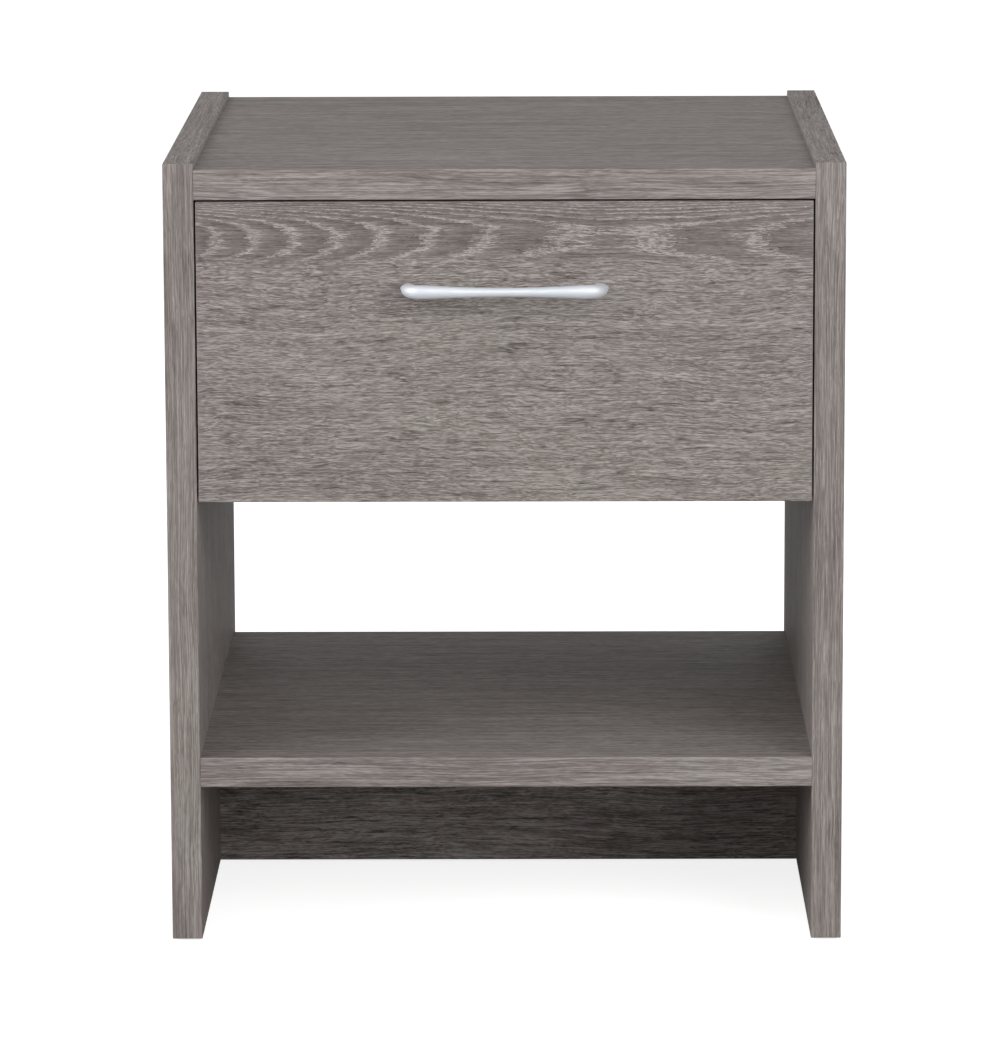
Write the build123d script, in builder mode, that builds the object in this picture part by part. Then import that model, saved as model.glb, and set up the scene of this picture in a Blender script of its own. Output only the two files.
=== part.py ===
"""Nightstand with one drawer over an open compartment.

Two full-height side panels carry an inset top, a shelf and a plinth rail. The drawer has an
inset front with a bow handle and runs on steel roller runners. Millimetres, +Z up, the front
faces -Y, and the origin is on the floor at the middle of the overall box.
"""
from build123d import *
import os
from math import cos, pi, sin

# ------------------------------------------------------------------ driving sizes: carcass
WIDTH = 400.0              # over the side panels
DEPTH = 400.0              # of the side panels, front edge to back edge
HEIGHT = 468.0             # floor to the tops of the side panels
BOARD = 18.0               # thickness of the carcass boards and the drawer front
ARRIS = 0.6                # rounding of every exposed board edge
TOP_STEP = 3.5             # top panel below the tops of the sides
SHELF_UNDERSIDE = 94.5     # height of the shelf's lower face
SHELF_BACK_SETBACK = 20.0  # shelf's back edge ahead of the sides' back edges
RAIL_SETBACK = 200.0       # plinth rail's front face behind the sides' front edges
BACK_RAIL_HEIGHT = 60.0    # board behind the drawer
HARDBOARD = 3.0            # back panel and drawer bottom
BACK_PANEL_INSET = 10.0    # back panel's rear face ahead of the sides' back edges
GROOVE_DEPTH = 6.5
GROOVE_GAP = 0.3           # hardboard clearance in a groove's width and depth
GLIDE_THICKNESS = 1.5      # plastic glide under the side panels
GLIDE_RADIUS = 7.0
GLIDE_INSET = 28.0         # glide's centre from the front or back edge
NAIL_RADIUS = 1.0
NAIL_HEAD_RADIUS = 2.2
NAIL_LENGTH = 16.0

# ------------------------------------------------------------------ driving sizes: drawer
FRONT_GAP = 1.0            # around the sides and top of the drawer front
FRONT_HEIGHT = 178.5       # drawer front
DRAWER_BOARD = 12.0        # drawer sides and back
RUNNER_GAP = 12.5          # between a drawer side and its side panel
REAR_CLEARANCE = 14.0      # behind the closed drawer
BOX_HEIGHT = 130.0         # drawer sides
BOX_LIFT = 18.0            # drawer sides' lower edges above the drawer front's lower edge
BOTTOM_LIFT = 8.0          # drawer bottom above the drawer sides' lower edges
DRAWER_GROOVE_DEPTH = 5.0

# ------------------------------------------------------------------ driving sizes: handle
HANDLE_CENTRES = 112.0     # between the two screws
HANDLE_REACH = 22.0        # out from the drawer front
HANDLE_DROP = 51.0         # screws below the drawer front's top edge
FOOT_WIDTH = 11.0          # oval foot where it meets the drawer front
FOOT_HEIGHT = 6.4
BAR_DEPTH = 5.2            # oval bar at mid span
BAR_HEIGHT = 4.9
SHOULDER_WIDTH = 8.4       # oval section where the leg turns into the bar
SHOULDER_HEIGHT = 8.4
BEND_RADIUS = 9.5          # plan radius of that turn
BAR_BOW = 1.2              # mid span ahead of the shoulders

# ------------------------------------------------------------------ driving sizes: fittings
BORE_GAP = 0.1             # radial clearance round dowels, cams and screws
THREAD_LENGTH = 11.0       # cam bolt's thread in a side panel
BOLT_REACH = 34.0          # panel face to the centre of the cam
THREAD_RADIUS = 2.5
BOLT_SHANK_RADIUS = 3.5
BOLT_HEAD_RADIUS = 3.1
BOLT_HEAD_LENGTH = 3.0
BOLT_HEAD_OVERRUN = 0.5    # head past the cam's centre
BOLT_NECK_STEP = 1.2       # neck's radius under the head's
CAM_RADIUS = 7.4
DOWEL_RADIUS = 4.0
DOWEL_IN_PANEL = 12.0
DOWEL_IN_BOARD = 18.0
DOWEL_CHAMFER = 0.8
DOWEL_END_GAP = 0.5        # glue room at each end of a dowel
EDGE_TO_CAM = 64.0         # cam joint's centre from the board's front or back edge
EDGE_TO_DOWEL = 32.0
RAIL_DOWEL_SPACING = 56.0  # the pair of dowels in a rail's end
BACK_RAIL_DOWEL_SPACING = 36.0
SMALL_THREAD_LENGTH = 9.0  # drawer fittings, a size smaller
SMALL_BOLT_REACH = 24.0
SMALL_SHANK_RADIUS = 2.9
SMALL_HEAD_RADIUS = 2.4
SMALL_CAM_RADIUS = 5.9
SMALL_DOWEL_RADIUS = 3.0
SMALL_DOWEL_IN_PANEL = 9.0
SMALL_DOWEL_IN_BOARD = 16.0
DRAWER_DOWEL_SPACING = 84.0
BACK_SCREW_SPACING = 60.0  # upright, clear of the runner's upper edge
CAM_BELOW_AXIS = 3.4       # cam housing past the bolt's axis
CAM_LIP = 1.0              # each side of the cam's slot, narrower than its pocket
CAM_POCKET = 3.6           # pocket round the bolt's head, along the bolt
CAM_SLOT = 1.4             # width of the cross slot on the cam's face
CAM_SLOT_DEPTH = 1.5
SCREW_RADIUS = 2.0
SCREW_HEAD_RADIUS = 3.4
SCREW_HEAD = 1.3
SCREW_SLOT = 0.8           # width of the cross slot
WOOD_SCREW_LENGTH = 32.0
RUNNER_SCREW_LENGTH = 12.0
BOTTOM_SCREW_SPACING = 110.0
HANDLE_SCREW_IN_FOOT = 8.0  # depth of the foot's tapped hole
HANDLE_SCREW_SPARE = 1.0    # left empty at its end
HANDLE_SCREW_HEAD_RADIUS = 4.0
HANDLE_SCREW_HEAD = 2.4

# ------------------------------------------------------------------ driving sizes: runners
STEEL = 1.0                # runner wall
ROLLER_RADIUS = 8.0
TRACK_GAP = 0.25           # roller to the flange that it carries or rides on
TRACK_SLACK = 0.75         # roller to the opposite flange
ROLLER_SHOULDER = 1.0      # roller to the web that its rivet is fixed in
HEAD_ROOM = 2.3            # roller to the other runner's web
CHANNEL_GAP = 2.0          # channel's lips to the drawer runner's web
FLANGE_RISE = 2.5          # drawer runner's flange above the channel
RIVET_RADIUS = 2.2
RIVET_HEAD_RADIUS = 3.6
RIVET_HEAD = 0.8
RIVET_RUNNING_GAP = 0.05   # radial clearance of a roller on its rivet
RIVET_SHOULDER_RADIUS = 3.4
ROLLER_END_GAP = 0.15      # roller to its rivet's head and shoulder
ROLLER_RIM = 0.6           # rounding of a roller's rims
ROLLER_INSET = 12.0        # roller's centre from its runner's end
ROLLER_CUTOUT = 2.0        # channel's upper flange starts this far behind the front roller
STOP_DROP = 4.0            # stop lug's reach below the channel's upper flange
ROLLERS_APART = 64.0       # front and rear rollers' centres with the drawer fully out
STOP_GAP = 0.5             # rear roller to the stop lug with the drawer fully out
SEAT_V = 5.0               # drawer side's lower edge above the channel's base
SEAT_WIDTH = 10.0          # drawer runner's flange under the drawer side
FLANGE_EDGE_GAP = 3.0      # drawer runner's upper flange to the side panel
RUNNER_FRONT_GAP = 2.0     # channel's front end behind the drawer front
RUNNER_SCREW_SPACING = 128.0
RUNNER_SCREW_INSET = 44.0

# ------------------------------------------------------------------ derived places
FRONT = -(DEPTH + HANDLE_REACH) / 2 + HANDLE_REACH
BACK = FRONT + DEPTH
INNER = WIDTH - 2 * BOARD
TOP_UPPER = HEIGHT - TOP_STEP
TOP_LOWER = TOP_UPPER - BOARD
FACE_TOP = TOP_LOWER - FRONT_GAP
FACE_BOTTOM = FACE_TOP - FRONT_HEIGHT
FACE_BACK = FRONT + BOARD
RAIL_FRONT = FRONT + RAIL_SETBACK
BACK_RAIL_FRONT = BACK - BOARD
BACK_RAIL_TOP = FACE_BOTTOM + BACK_RAIL_HEIGHT
BACK_PANEL_REAR = BACK - BACK_PANEL_INSET

BOX_BACK = BACK_RAIL_FRONT - REAR_CLEARANCE
BOX_LENGTH = BOX_BACK - FACE_BACK
BOX_BOTTOM = FACE_BOTTOM + BOX_LIFT
BOX_TOP = BOX_BOTTOM + BOX_HEIGHT
BOX_WIDTH = INNER - 2 * RUNNER_GAP
BOX_INNER = BOX_WIDTH - 2 * DRAWER_BOARD
BOTTOM_LOWER = BOX_BOTTOM + BOTTOM_LIFT
BOTTOM_UPPER = BOTTOM_LOWER + HARDBOARD
BOTTOM_TONGUE = DRAWER_GROOVE_DEPTH - GROOVE_GAP
HANDLE_Z = FACE_TOP - HANDLE_DROP

# Runner section: u is measured from the side panel's face towards the drawer, v upwards.
ROLLER_WIDTH = RUNNER_GAP - 2 * STEEL - ROLLER_SHOULDER - HEAD_ROOM
CHANNEL_WIDTH = RUNNER_GAP - STEEL - CHANNEL_GAP
CHANNEL_HEIGHT = 2 * STEEL + 2 * ROLLER_RADIUS + TRACK_GAP + TRACK_SLACK
FLANGE_V = CHANNEL_HEIGHT + FLANGE_RISE
FRONT_AXIS_V = FLANGE_V - TRACK_GAP - ROLLER_RADIUS
REAR_AXIS_V = STEEL + TRACK_GAP + ROLLER_RADIUS
RUNNER_BASE = BOX_BOTTOM - SEAT_V
RUNNER_FRONT = FACE_BACK + RUNNER_FRONT_GAP
RUNNER_BACK = BOX_BACK
FRONT_ROLLER_Y = RUNNER_FRONT + ROLLER_INSET
REAR_ROLLER_Y = RUNNER_BACK - ROLLER_INSET
TRAVEL = REAR_ROLLER_Y - FRONT_ROLLER_Y - ROLLERS_APART
STOP_Y = REAR_ROLLER_Y - TRAVEL - ROLLER_RADIUS - STOP_GAP

os.makedirs("parts", exist_ok=True)


def save(piece, name):
    """Label a finished piece and write it as its own file"""
    piece.part.label = name
    export_step(piece.part, f"parts/{name}.step")


# ------------------------------------------------------------------ shared fittings
# A joint's own frame: X runs from the panel's face into the joined board's end, and Z points
# out of the mouth that the cam is turned from.
def rod(radius, start, end, mode=Mode.ADD):
    """Round bar along X between two stations, in the active part"""
    with Locations(((start + end) / 2, 0, 0)):
        Cylinder(radius, end - start, rotation=(0, 90, 0), mode=mode)


def cam_bolt(thread, reach, shank_radius, head_radius, cam_radius):
    """Steel bolt: thread in the panel, shank in the board's end, head held by the cam"""
    neck = reach - cam_radius - BORE_GAP
    tip = reach + BOLT_HEAD_OVERRUN
    with BuildPart() as bolt:
        rod(THREAD_RADIUS, -thread, 0)
        rod(shank_radius, 0, neck)
        rod(head_radius - BOLT_NECK_STEP, neck, tip - BOLT_HEAD_LENGTH)
        rod(head_radius, tip - BOLT_HEAD_LENGTH, tip)
    return bolt


def cam_lock(reach, head_radius, cam_radius, board):
    """Zinc cam: a drum with a pocket for the bolt's head and a cross slot on its face"""
    mouth = board / 2
    height = mouth + CAM_BELOW_AXIS
    pocket = head_radius + 2 * BORE_GAP
    head_mid = reach + BOLT_HEAD_OVERRUN - BOLT_HEAD_LENGTH / 2
    with BuildPart() as cam:
        with Locations((reach, 0, mouth - height / 2)):
            Cylinder(cam_radius, height)
        with Locations((reach - cam_radius, 0, 0)):
            Box(2 * cam_radius, 2 * (pocket - CAM_LIP), 2 * pocket, mode=Mode.SUBTRACT)
        with Locations((head_mid, 0, 0)):
            Box(CAM_POCKET, 2 * pocket, 2 * pocket, mode=Mode.SUBTRACT)
        with Locations((reach, 0, mouth)):
            Box(cam_radius * 1.3, CAM_SLOT, 2 * CAM_SLOT_DEPTH, mode=Mode.SUBTRACT)
            Box(CAM_SLOT, cam_radius * 1.3, 2 * CAM_SLOT_DEPTH, mode=Mode.SUBTRACT)
    return cam


def cam_bores(thread, reach, shank_radius, cam_radius, board):
    """Everything drilled for one cam joint, in both the panel and the board"""
    mouth = board / 2
    height = mouth + CAM_BELOW_AXIS
    with BuildPart() as bores:
        rod(THREAD_RADIUS + BORE_GAP, -thread, 0)
        rod(shank_radius + BORE_GAP, 0, reach)
        with Locations((reach, 0, mouth - height / 2)):
            Cylinder(cam_radius + BORE_GAP, height)
    return bores


def dowel(radius, in_panel, in_board):
    """Hardwood dowel with chamfered ends"""
    with BuildPart() as pin:
        rod(radius, -in_panel, in_board)
        chamfer(pin.edges().filter_by(GeomType.CIRCLE), DOWEL_CHAMFER)
    return pin


def dowel_bores(radius, in_panel, in_board):
    """The two aligned holes of one dowel"""
    with BuildPart() as bores:
        rod(radius + BORE_GAP, -in_panel - DOWEL_END_GAP, in_board + DOWEL_END_GAP)
    return bores


def screw(shank_radius, length, head_radius, head):
    """Screw along X: the head's seat is at 0, and the shank runs towards +X"""
    with BuildPart() as fastener:
        rod(head_radius, -head, 0)
        chamfer(fastener.edges().group_by(Axis.X)[0], head * 0.45)
        rod(shank_radius, 0, length)
        chamfer(fastener.edges().group_by(Axis.X)[-1], shank_radius * 0.6)
        with Locations((-head, 0, 0)):
            Box(head, head_radius * 1.1, SCREW_SLOT, mode=Mode.SUBTRACT)
            Box(head, SCREW_SLOT, head_radius * 1.1, mode=Mode.SUBTRACT)
    return fastener


def screw_bore(shank_radius, length, head_radius=0):
    """Hole for such a screw, with a recess for a flush head where head_radius is given"""
    with BuildPart() as bore:
        rod(shank_radius + BORE_GAP, -STEEL, length)
        if head_radius:
            rod(head_radius + BORE_GAP, -2 * SCREW_HEAD, 0)
    return bore


def cut(tool, frames):
    """Take copies of a tool out of the active part"""
    with Locations(*frames):
        add(tool.part, mode=Mode.SUBTRACT)


def copies(tool, frames):
    """A part made of separate copies of one fitting"""
    with BuildPart() as group:
        with Locations(*frames):
            add(tool.part)
    return group


SIDES = (-1, 1)
UP, DOWN = (0, 0, 1), (0, 0, -1)
FORWARD, BACKWARD = (0, -1, 0), (0, 1, 0)


# ------------------------------------------------------------------ where the carcass is joined
def level_joints(back, z):
    """Cam and dowel stations along the end of a level board whose back edge is at y = back"""
    cams = [(y, z, DOWN) for y in (FRONT + EDGE_TO_CAM, back - EDGE_TO_CAM)]
    pins = [(y, z, DOWN) for y in (FRONT + EDGE_TO_DOWEL, back - EDGE_TO_DOWEL)]
    return cams, pins


def upright_joints(y, z, spacing, mouth):
    """One cam between two dowels in the end of an upright rail"""
    return [(y, z, mouth)], [(y, z + step * spacing / 2, mouth) for step in SIDES]


def on_both_sides(stations):
    """Frames of the same stations on the inner faces of the two side panels"""
    return [Plane((side * INNER / 2, y, z), x_dir=(-side, 0, 0), z_dir=mouth)
            for side in SIDES for y, z, mouth in stations]


top_mid = TOP_LOWER + BOARD / 2
shelf_mid = SHELF_UNDERSIDE + BOARD / 2
shelf_back = BACK - SHELF_BACK_SETBACK
rail_mid = RAIL_FRONT + BOARD / 2
rail_height = SHELF_UNDERSIDE - GLIDE_THICKNESS
rail_z = GLIDE_THICKNESS + rail_height / 2
back_rail_mid = BACK_RAIL_FRONT + BOARD / 2
back_rail_z = FACE_BOTTOM + BACK_RAIL_HEIGHT / 2

top_cams, top_pins = level_joints(BACK, top_mid)
shelf_cams, shelf_pins = level_joints(shelf_back, shelf_mid)
rail_cams, rail_pins = upright_joints(rail_mid, rail_z, RAIL_DOWEL_SPACING, BACKWARD)
back_cams, back_pins = upright_joints(back_rail_mid, back_rail_z, BACK_RAIL_DOWEL_SPACING,
                                      FORWARD)
cam_frames = on_both_sides(top_cams + shelf_cams + rail_cams + back_cams)
dowel_frames = on_both_sides(top_pins + shelf_pins + rail_pins + back_pins)
cam_drilling = cam_bores(THREAD_LENGTH, BOLT_REACH, BOLT_SHANK_RADIUS, CAM_RADIUS, BOARD)
dowel_drilling = dowel_bores(DOWEL_RADIUS, DOWEL_IN_PANEL, DOWEL_IN_BOARD)

glide_frames = [Plane((side * (WIDTH - BOARD) / 2, y, GLIDE_THICKNESS), x_dir=UP,
                      z_dir=BACKWARD)
                for side in SIDES for y in (FRONT + GLIDE_INSET, BACK - GLIDE_INSET)]
nail_drilling = screw_bore(NAIL_RADIUS, NAIL_LENGTH)

runner_screw_ys = [RUNNER_FRONT + RUNNER_SCREW_INSET,
                   RUNNER_FRONT + RUNNER_SCREW_INSET + RUNNER_SCREW_SPACING,
                   RUNNER_BACK - RUNNER_SCREW_INSET]
cabinet_screw_frames = [
    Plane((side * (INNER / 2 - STEEL), y, RUNNER_BASE + REAR_AXIS_V), x_dir=(side, 0, 0))
    for side in SIDES for y in runner_screw_ys]
screw_drilling = screw_bore(SCREW_RADIUS, RUNNER_SCREW_LENGTH)


def drill_carcass():
    """Take every carcass joint's holes out of the active board"""
    cut(cam_drilling, cam_frames)
    cut(dowel_drilling, dowel_frames)


# ------------------------------------------------------------------ carcass boards
groove_front = BACK_PANEL_REAR - HARDBOARD - GROOVE_GAP
groove_mid = (groove_front + BACK_PANEL_REAR) / 2
groove_width = HARDBOARD + GROOVE_GAP
groove_bottom = BACK_RAIL_TOP - GROOVE_DEPTH
groove_top = TOP_LOWER + GROOVE_DEPTH

for side, name in zip(SIDES, ("left_side_panel", "right_side_panel")):
    with BuildPart() as side_panel:
        with Locations((side * (WIDTH - BOARD) / 2, FRONT + DEPTH / 2, GLIDE_THICKNESS)):
            Box(BOARD, DEPTH, HEIGHT - GLIDE_THICKNESS,
                align=(Align.CENTER, Align.CENTER, Align.MIN))
        fillet(side_panel.edges(), ARRIS)
        with Locations((side * INNER / 2, groove_mid, (groove_bottom + groove_top) / 2)):
            Box(2 * GROOVE_DEPTH, groove_width, groove_top - groove_bottom,
                mode=Mode.SUBTRACT)
        drill_carcass()
        cut(screw_drilling, cabinet_screw_frames)
        cut(nail_drilling, glide_frames)
    save(side_panel, name)

with BuildPart() as top_panel:
    with Locations((0, FRONT + DEPTH / 2, top_mid)):
        Box(INNER, DEPTH, BOARD)
    fillet(top_panel.edges().filter_by(Axis.X), ARRIS)
    with Locations((0, groove_mid, TOP_LOWER)):
        Box(INNER, groove_width, 2 * GROOVE_DEPTH, mode=Mode.SUBTRACT)
    drill_carcass()
save(top_panel, "top_panel")

with BuildPart() as shelf_panel:
    with Locations((0, (FRONT + shelf_back) / 2, shelf_mid)):
        Box(INNER, shelf_back - FRONT, BOARD)
    fillet(shelf_panel.edges().filter_by(Axis.X), ARRIS)
    drill_carcass()
save(shelf_panel, "shelf_panel")

with BuildPart() as plinth_rail:
    with Locations((0, rail_mid, rail_z)):
        Box(INNER, BOARD, rail_height)
    fillet(plinth_rail.edges().filter_by(Axis.X).group_by(Axis.Z)[0], ARRIS)
    drill_carcass()
save(plinth_rail, "plinth_rail")

with BuildPart() as back_rail:
    with Locations((0, back_rail_mid, back_rail_z)):
        Box(INNER, BOARD, BACK_RAIL_HEIGHT)
    fillet(back_rail.edges().filter_by(Axis.X), ARRIS)
    with Locations((0, groove_mid, BACK_RAIL_TOP)):
        Box(INNER, groove_width, 2 * GROOVE_DEPTH, mode=Mode.SUBTRACT)
    drill_carcass()
save(back_rail, "back_rail")

with BuildPart() as back_panel:
    with Locations((0, BACK_PANEL_REAR, (groove_bottom + groove_top) / 2)):
        Box(INNER + 2 * (GROOVE_DEPTH - GROOVE_GAP), HARDBOARD,
            groove_top - groove_bottom - 2 * GROOVE_GAP,
            align=(Align.CENTER, Align.MAX, Align.CENTER))
save(back_panel, "back_panel")

# ------------------------------------------------------------------ carcass fittings
carcass_bolt = cam_bolt(THREAD_LENGTH, BOLT_REACH, BOLT_SHANK_RADIUS, BOLT_HEAD_RADIUS,
                        CAM_RADIUS)
carcass_cam = cam_lock(BOLT_REACH, BOLT_HEAD_RADIUS, CAM_RADIUS, BOARD)
carcass_dowel = dowel(DOWEL_RADIUS, DOWEL_IN_PANEL, DOWEL_IN_BOARD)
save(copies(carcass_bolt, cam_frames), "carcass_cam_bolts")
save(copies(carcass_cam, cam_frames), "carcass_cam_locks")
save(copies(carcass_dowel, dowel_frames), "carcass_dowels")

nail_head = GLIDE_THICKNESS * 0.4
with BuildPart() as glide:
    rod(GLIDE_RADIUS, -GLIDE_THICKNESS, 0)
    fillet(glide.edges().group_by(Axis.X)[0], GLIDE_THICKNESS * 0.4)
    rod(NAIL_RADIUS + BORE_GAP, -GLIDE_THICKNESS, 0, mode=Mode.SUBTRACT)
    rod(NAIL_HEAD_RADIUS + BORE_GAP, -GLIDE_THICKNESS, -nail_head, mode=Mode.SUBTRACT)
with BuildPart() as glide_nail:
    rod(NAIL_HEAD_RADIUS, -2 * nail_head, -nail_head)
    rod(NAIL_RADIUS, -nail_head, NAIL_LENGTH)
save(copies(glide, glide_frames), "floor_glides")
save(copies(glide_nail, glide_frames), "glide_nails")


# ------------------------------------------------------------------ runners and rollers
# In a runner's section u runs from the side panel's face towards the drawer and v upwards from
# the channel's base. Each argument below is a (low, high) pair, or one value for a centre.
def strip(side, u, v, y):
    """Flat of a runner on one side"""
    with Locations((side * (INNER / 2 - sum(u) / 2), sum(y) / 2, RUNNER_BASE + sum(v) / 2)):
        Box(u[1] - u[0], y[1] - y[0], v[1] - v[0])


def axle(side, radius, u, y, v, mode=Mode.ADD):
    """Round along u at one place on one side"""
    with Locations((side * (INNER / 2 - sum(u) / 2), y, RUNNER_BASE + v)):
        Cylinder(radius, u[1] - u[0], rotation=(0, 90, 0), mode=mode)


def rivet(side, web, step, y, v):
    """Axle fixed in a web at u = web, reaching step (+1 or -1) across to a head in the roller"""
    def span(near, far):
        return tuple(sorted((web + step * near, web + step * far)))

    outer = ROLLER_SHOULDER + ROLLER_WIDTH
    with BuildPart() as piece:
        axle(side, RIVET_RADIUS, span(-STEEL, outer), y, v)
        axle(side, RIVET_SHOULDER_RADIUS, span(0, ROLLER_SHOULDER - ROLLER_END_GAP), y, v)
        axle(side, RIVET_HEAD_RADIUS, span(outer - RIVET_HEAD, outer), y, v)
    return piece


def roller(side, web, step, y, v):
    """Nylon wheel on such a rivet, with a recess round the rivet's head"""
    def span(near, far):
        return tuple(sorted((web + step * near, web + step * far)))

    inner, outer = ROLLER_SHOULDER, ROLLER_SHOULDER + ROLLER_WIDTH
    recess = RIVET_HEAD + ROLLER_END_GAP
    with BuildPart() as wheel:
        axle(side, ROLLER_RADIUS, span(inner, outer), y, v)
        fillet(wheel.edges().filter_by(GeomType.CIRCLE), ROLLER_RIM)
        axle(side, RIVET_RADIUS + RIVET_RUNNING_GAP, span(inner, outer), y, v,
             mode=Mode.SUBTRACT)
        axle(side, RIVET_HEAD_RADIUS + ROLLER_END_GAP, span(outer - recess, outer), y, v,
             mode=Mode.SUBTRACT)
    return wheel


drawer_web = RUNNER_GAP - STEEL
upper_flange_front = FRONT_ROLLER_Y + ROLLER_RADIUS + ROLLER_CUTOUT
seat_screw_u = RUNNER_GAP + (DRAWER_BOARD - DRAWER_GROOVE_DEPTH) / 2
full_length = (RUNNER_FRONT, RUNNER_BACK)
drawer_screw_frames = [
    Plane((side * (INNER / 2 - seat_screw_u), y, RUNNER_BASE + SEAT_V - STEEL), x_dir=UP,
          z_dir=BACKWARD)
    for side in SIDES for y in runner_screw_ys]

front_rivets, rear_rivets = [], []
for side, word in zip(SIDES, ("left", "right")):
    with BuildPart() as channel:
        strip(side, (0, STEEL), (0, CHANNEL_HEIGHT), full_length)
        strip(side, (0, CHANNEL_WIDTH), (0, STEEL), full_length)
        strip(side, (0, CHANNEL_WIDTH), (CHANNEL_HEIGHT - STEEL, CHANNEL_HEIGHT),
              (upper_flange_front, RUNNER_BACK))
        strip(side, (STEEL, CHANNEL_WIDTH),
              (CHANNEL_HEIGHT - STEEL - STOP_DROP, CHANNEL_HEIGHT - STEEL),
              (STOP_Y - STEEL, STOP_Y))
        strip(side, (STEEL, CHANNEL_WIDTH), (STEEL, CHANNEL_HEIGHT - STEEL),
              (RUNNER_BACK - STEEL, RUNNER_BACK))
        axle(side, RIVET_RADIUS, (0, STEEL), FRONT_ROLLER_Y, FRONT_AXIS_V,
             mode=Mode.SUBTRACT)
        for y in runner_screw_ys:
            axle(side, SCREW_RADIUS + BORE_GAP, (0, STEEL), y, REAR_AXIS_V,
                 mode=Mode.SUBTRACT)
    save(channel, f"{word}_cabinet_runner")

    with BuildPart() as drawer_runner:
        strip(side, (drawer_web, RUNNER_GAP), (SEAT_V - STEEL, FLANGE_V + STEEL),
              full_length)
        strip(side, (FLANGE_EDGE_GAP, drawer_web), (FLANGE_V, FLANGE_V + STEEL),
              full_length)
        strip(side, (RUNNER_GAP, RUNNER_GAP + SEAT_WIDTH), (SEAT_V - STEEL, SEAT_V),
              full_length)
        axle(side, RIVET_RADIUS, (drawer_web, RUNNER_GAP), REAR_ROLLER_Y, REAR_AXIS_V,
             mode=Mode.SUBTRACT)
        for frame in drawer_screw_frames:
            with Locations(frame):
                Cylinder(SCREW_RADIUS + BORE_GAP, 4 * STEEL, rotation=(0, 90, 0),
                         mode=Mode.SUBTRACT)
    save(drawer_runner, f"{word}_drawer_runner")

    front_rivets.append(rivet(side, STEEL, 1, FRONT_ROLLER_Y, FRONT_AXIS_V))
    rear_rivets.append(rivet(side, drawer_web, -1, REAR_ROLLER_Y, REAR_AXIS_V))
    save(roller(side, STEEL, 1, FRONT_ROLLER_Y, FRONT_AXIS_V), f"{word}_front_roller")
    save(roller(side, drawer_web, -1, REAR_ROLLER_Y, REAR_AXIS_V), f"{word}_rear_roller")


def gathered(pieces):
    """Separate pieces as one part"""
    with BuildPart() as group:
        for piece in pieces:
            add(piece.part)
    return group


save(gathered(front_rivets), "front_roller_rivets")
save(gathered(rear_rivets), "rear_roller_rivets")
runner_screw = screw(SCREW_RADIUS, RUNNER_SCREW_LENGTH, SCREW_HEAD_RADIUS, SCREW_HEAD)
save(copies(runner_screw, cabinet_screw_frames), "cabinet_runner_screws")
save(copies(runner_screw, drawer_screw_frames), "drawer_runner_screws")

# ------------------------------------------------------------------ where the drawer is joined
side_mid_x = (BOX_WIDTH - DRAWER_BOARD) / 2
box_mid_z = BOX_BOTTOM + BOX_HEIGHT / 2
box_mid_y = (FACE_BACK + BOX_BACK) / 2


def front_joint(side, z):
    """Frame where a drawer side's end meets the back of the drawer front"""
    return Plane((side * side_mid_x, FACE_BACK, z), x_dir=BACKWARD, z_dir=(-side, 0, 0))


drawer_cam_frames = [front_joint(side, box_mid_z) for side in SIDES]
drawer_dowel_frames = [front_joint(side, box_mid_z + step * DRAWER_DOWEL_SPACING / 2)
                       for side in SIDES for step in SIDES]
back_screw_frames = [
    Plane((side * (BOX_WIDTH / 2 - SCREW_HEAD), BOX_BACK - DRAWER_BOARD / 2,
           box_mid_z + step * BACK_SCREW_SPACING / 2), x_dir=(-side, 0, 0))
    for side in SIDES for step in SIDES]
bottom_screw_frames = [
    Plane((x, BOX_BACK - DRAWER_BOARD / 2, BOTTOM_LOWER), x_dir=UP, z_dir=BACKWARD)
    for x in (-BOTTOM_SCREW_SPACING, 0, BOTTOM_SCREW_SPACING)]
handle_frames = [Plane((side * HANDLE_CENTRES / 2, FACE_BACK, HANDLE_Z), x_dir=FORWARD)
                 for side in SIDES]

drawer_drilling = cam_bores(SMALL_THREAD_LENGTH, SMALL_BOLT_REACH, SMALL_SHANK_RADIUS,
                            SMALL_CAM_RADIUS, DRAWER_BOARD)
drawer_dowel_drilling = dowel_bores(SMALL_DOWEL_RADIUS, SMALL_DOWEL_IN_PANEL,
                                    SMALL_DOWEL_IN_BOARD)
back_screw_drilling = screw_bore(SCREW_RADIUS, WOOD_SCREW_LENGTH, SCREW_HEAD_RADIUS)
bottom_screw_drilling = screw_bore(SCREW_RADIUS, RUNNER_SCREW_LENGTH)
handle_drilling = screw_bore(SCREW_RADIUS, BOARD + HANDLE_SCREW_IN_FOOT)


def drill_drawer():
    """Take every drawer joint's holes out of the active board"""
    cut(drawer_drilling, drawer_cam_frames)
    cut(drawer_dowel_drilling, drawer_dowel_frames)
    cut(back_screw_drilling, back_screw_frames)
    cut(bottom_screw_drilling, bottom_screw_frames)
    cut(screw_drilling, drawer_screw_frames)


def groove(width, y_low, y_high):
    """Take the drawer bottom's slot out of the active board"""
    with Locations((0, (y_low + y_high) / 2, BOTTOM_LOWER)):
        Box(width, y_high - y_low, HARDBOARD + GROOVE_GAP,
            align=(Align.CENTER, Align.CENTER, Align.MIN), mode=Mode.SUBTRACT)


# ------------------------------------------------------------------ drawer boards
with BuildPart() as drawer_front:
    with Locations((0, FRONT + BOARD / 2, FACE_BOTTOM + FRONT_HEIGHT / 2)):
        Box(INNER - 2 * FRONT_GAP, BOARD, FRONT_HEIGHT)
    fillet(drawer_front.edges(), ARRIS)
    groove(BOX_INNER + 2 * DRAWER_GROOVE_DEPTH, FACE_BACK - DRAWER_GROOVE_DEPTH, FACE_BACK)
    drill_drawer()
    cut(handle_drilling, handle_frames)
save(drawer_front, "drawer_front")

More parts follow.
